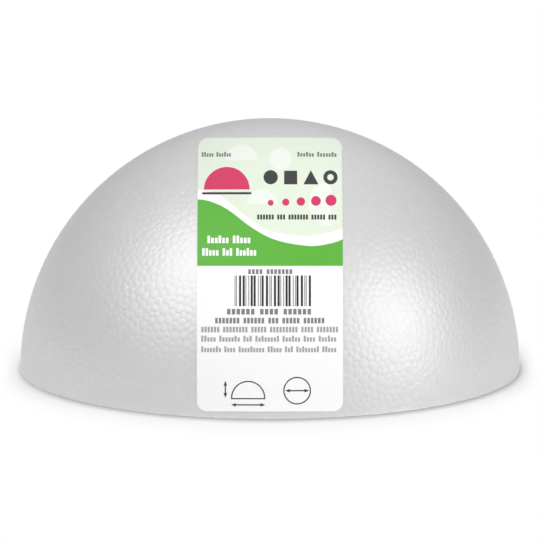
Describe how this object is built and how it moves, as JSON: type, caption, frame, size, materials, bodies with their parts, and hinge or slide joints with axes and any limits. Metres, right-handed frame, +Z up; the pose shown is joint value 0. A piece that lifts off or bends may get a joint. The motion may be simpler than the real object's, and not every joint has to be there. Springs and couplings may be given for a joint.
{
  "type": "foam half ball",
  "caption": "Solid white bead foam half ball for crafts, standing on its flat base, with a plain printed label on the front of the dome.",
  "frame": {"origin": "middle of the flat base, on the plane that the half ball stands on", "axes": "+Z up through the top of the dome, -Y towards the label on the front, +X to the right as the label is looked at"},
  "size_m": [0.078, 0.0784, 0.039],
  "materials": {
    "white_foam": "moulded white bead foam with a soft, leathery sheen",
    "label_paper": "smooth printed label paper"
  },
  "bodies": {
    "root": {"foam_half_ball": "white_foam", "label": "label_paper"}
  },
  "joints": []
}
